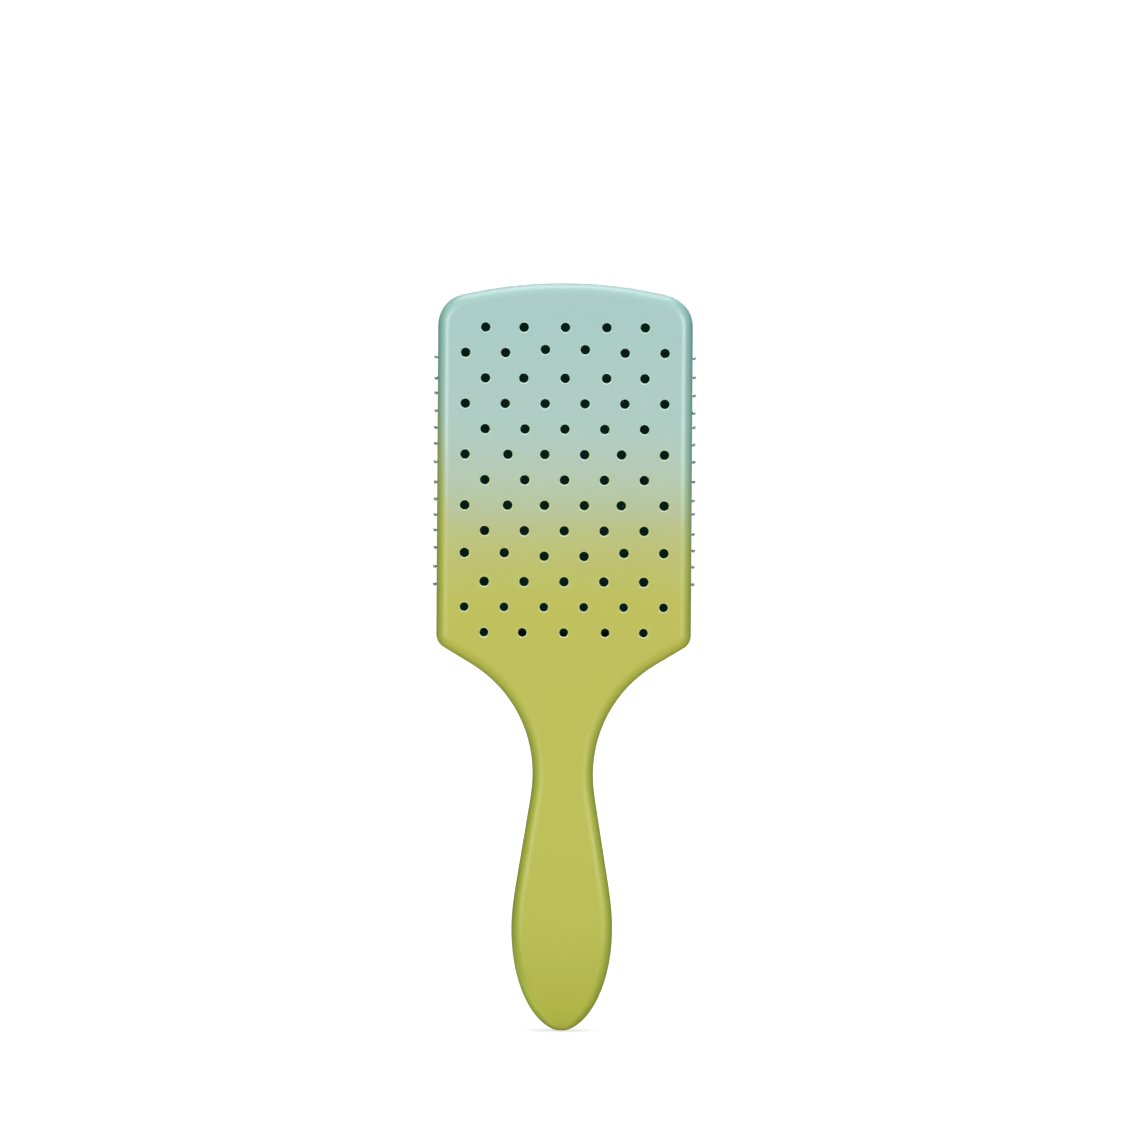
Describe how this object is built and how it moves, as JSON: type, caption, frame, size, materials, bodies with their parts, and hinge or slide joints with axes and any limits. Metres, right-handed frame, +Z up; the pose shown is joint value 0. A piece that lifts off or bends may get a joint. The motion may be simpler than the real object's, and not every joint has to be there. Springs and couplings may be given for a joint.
{
  "type": "vented paddle hair brush",
  "caption": "Vented paddle hair brush with a flat rounded-rectangle head, oval handle, domed rubber cushion and ball-tipped pins, painted in an aqua to lime fade.",
  "frame": {"origin": "centre of the hand grip: the handle's widest place, on the parting plane of the two shells", "axes": "+Z runs up the brush from the handle's tip to the top of the head; the flat vented back faces -Y and the pins point to +Y; +X is to the right when the back is seen"},
  "size_m": [0.0886, 0.0416, 0.2498],
  "materials": {
    "fade_paint": "soft-touch matt paint that fades from pale aqua at the head's top to lime on the handle",
    "frame_plastic": "moulded black plastic",
    "cushion_rubber": "smooth black rubber",
    "pin_nylon": "satin dark teal nylon",
    "bead_nylon": "smooth dark teal beads"
  },
  "bodies": {
    "housing": {"back_shell": "fade_paint", "front_shell": "fade_paint", "pad_retainer": "frame_plastic"},
    "cushion": {"rubber_diaphragm": "cushion_rubber"},
    "bristles_01": {"bristle_column_01": "pin_nylon", "bristle_tips_01": "bead_nylon"},
    "bristles_02": {"bristle_column_02": "pin_nylon", "bristle_tips_02": "bead_nylon"},
    "bristles_03": {"bristle_column_03": "pin_nylon", "bristle_tips_03": "bead_nylon"},
    "bristles_04": {"bristle_column_04": "pin_nylon", "bristle_tips_04": "bead_nylon"},
    "bristles_05": {"bristle_column_05": "pin_nylon", "bristle_tips_05": "bead_nylon"},
    "bristles_06": {"bristle_column_06": "pin_nylon", "bristle_tips_06": "bead_nylon"},
    "bristles_07": {"bristle_column_07": "pin_nylon", "bristle_tips_07": "bead_nylon"},
    "bristles_08": {"bristle_column_08": "pin_nylon", "bristle_tips_08": "bead_nylon"},
    "bristles_09": {"bristle_column_09": "pin_nylon", "bristle_tips_09": "bead_nylon"},
    "bristles_10": {"bristle_column_10": "pin_nylon", "bristle_tips_10": "bead_nylon"},
    "bristles_11": {"bristle_column_11": "pin_nylon", "bristle_tips_11": "bead_nylon"},
    "bristles_12": {"bristle_column_12": "pin_nylon", "bristle_tips_12": "bead_nylon"},
    "bristles_13": {"bristle_column_13": "pin_nylon", "bristle_tips_13": "bead_nylon"},
    "bristles_14": {"bristle_column_14": "pin_nylon", "bristle_tips_14": "bead_nylon"},
    "bristles_15": {"bristle_column_15": "pin_nylon", "bristle_tips_15": "bead_nylon"}
  },
  "joints": [
    {"name": "cushion_press", "type": "slide", "parent": "housing", "child": "cushion", "axis": [0, 1, 0], "range_m": [-0.0025, 0], "stiffness_N_per_m": 3000, "deforming": ["rubber_diaphragm"]},
    {"name": "bristle_bend_01", "type": "hinge", "parent": "cushion", "child": "bristles_01", "pos_m": [-0.03517, 0.00534, 0.156], "axis": [0, 0, 1], "range_deg": [-12, 12], "stiffness_Nm_per_rad": 0.1},
    {"name": "bristle_bend_02", "type": "hinge", "parent": "cushion", "child": "bristles_02", "pos_m": [-0.03035, 0.00717, 0.156], "axis": [0, 0, 1], "range_deg": [-12, 12], "stiffness_Nm_per_rad": 0.1},
    {"name": "bristle_bend_03", "type": "hinge", "parent": "cushion", "child": "bristles_03", "pos_m": [-0.02544, 0.00872, 0.156], "axis": [0, 0, 1], "range_deg": [-12, 12], "stiffness_Nm_per_rad": 0.1},
    {"name": "bristle_bend_04", "type": "hinge", "parent": "cushion", "child": "bristles_04", "pos_m": [-0.02045, 0.01001, 0.156], "axis": [0, 0, 1], "range_deg": [-12, 12], "stiffness_Nm_per_rad": 0.1},
    {"name": "bristle_bend_05", "type": "hinge", "parent": "cushion", "child": "bristles_05", "pos_m": [-0.01539, 0.01101, 0.156], "axis": [0, 0, 1], "range_deg": [-12, 12], "stiffness_Nm_per_rad": 0.1},
    {"name": "bristle_bend_06", "type": "hinge", "parent": "cushion", "child": "bristles_06", "pos_m": [-0.01029, 0.01172, 0.156], "axis": [0, 0, 1], "range_deg": [-12, 12], "stiffness_Nm_per_rad": 0.1},
    {"name": "bristle_bend_07", "type": "hinge", "parent": "cushion", "child": "bristles_07", "pos_m": [-0.00515, 0.01216, 0.156], "axis": [0, 0, 1], "range_deg": [-12, 12], "stiffness_Nm_per_rad": 0.1},
    {"name": "bristle_bend_08", "type": "hinge", "parent": "cushion", "child": "bristles_08", "pos_m": [0, 0.0123, 0.156], "axis": [0, 0, 1], "range_deg": [-12, 12], "stiffness_Nm_per_rad": 0.1},
    {"name": "bristle_bend_09", "type": "hinge", "parent": "cushion", "child": "bristles_09", "pos_m": [0.00515, 0.01216, 0.156], "axis": [0, 0, 1], "range_deg": [-12, 12], "stiffness_Nm_per_rad": 0.1},
    {"name": "bristle_bend_10", "type": "hinge", "parent": "cushion", "child": "bristles_10", "pos_m": [0.01029, 0.01172, 0.156], "axis": [0, 0, 1], "range_deg": [-12, 12], "stiffness_Nm_per_rad": 0.1},
    {"name": "bristle_bend_11", "type": "hinge", "parent": "cushion", "child": "bristles_11", "pos_m": [0.01539, 0.01101, 0.156], "axis": [0, 0, 1], "range_deg": [-12, 12], "stiffness_Nm_per_rad": 0.1},
    {"name": "bristle_bend_12", "type": "hinge", "parent": "cushion", "child": "bristles_12", "pos_m": [0.02045, 0.01001, 0.156], "axis": [0, 0, 1], "range_deg": [-12, 12], "stiffness_Nm_per_rad": 0.1},
    {"name": "bristle_bend_13", "type": "hinge", "parent": "cushion", "child": "bristles_13", "pos_m": [0.02544, 0.00872, 0.156], "axis": [0, 0, 1], "range_deg": [-12, 12], "stiffness_Nm_per_rad": 0.1},
    {"name": "bristle_bend_14", "type": "hinge", "parent": "cushion", "child": "bristles_14", "pos_m": [0.03035, 0.00717, 0.156], "axis": [0, 0, 1], "range_deg": [-12, 12], "stiffness_Nm_per_rad": 0.1},
    {"name": "bristle_bend_15", "type": "hinge", "parent": "cushion", "child": "bristles_15", "pos_m": [0.03517, 0.00534, 0.156], "axis": [0, 0, 1], "range_deg": [-12, 12], "stiffness_Nm_per_rad": 0.1}
  ]
}
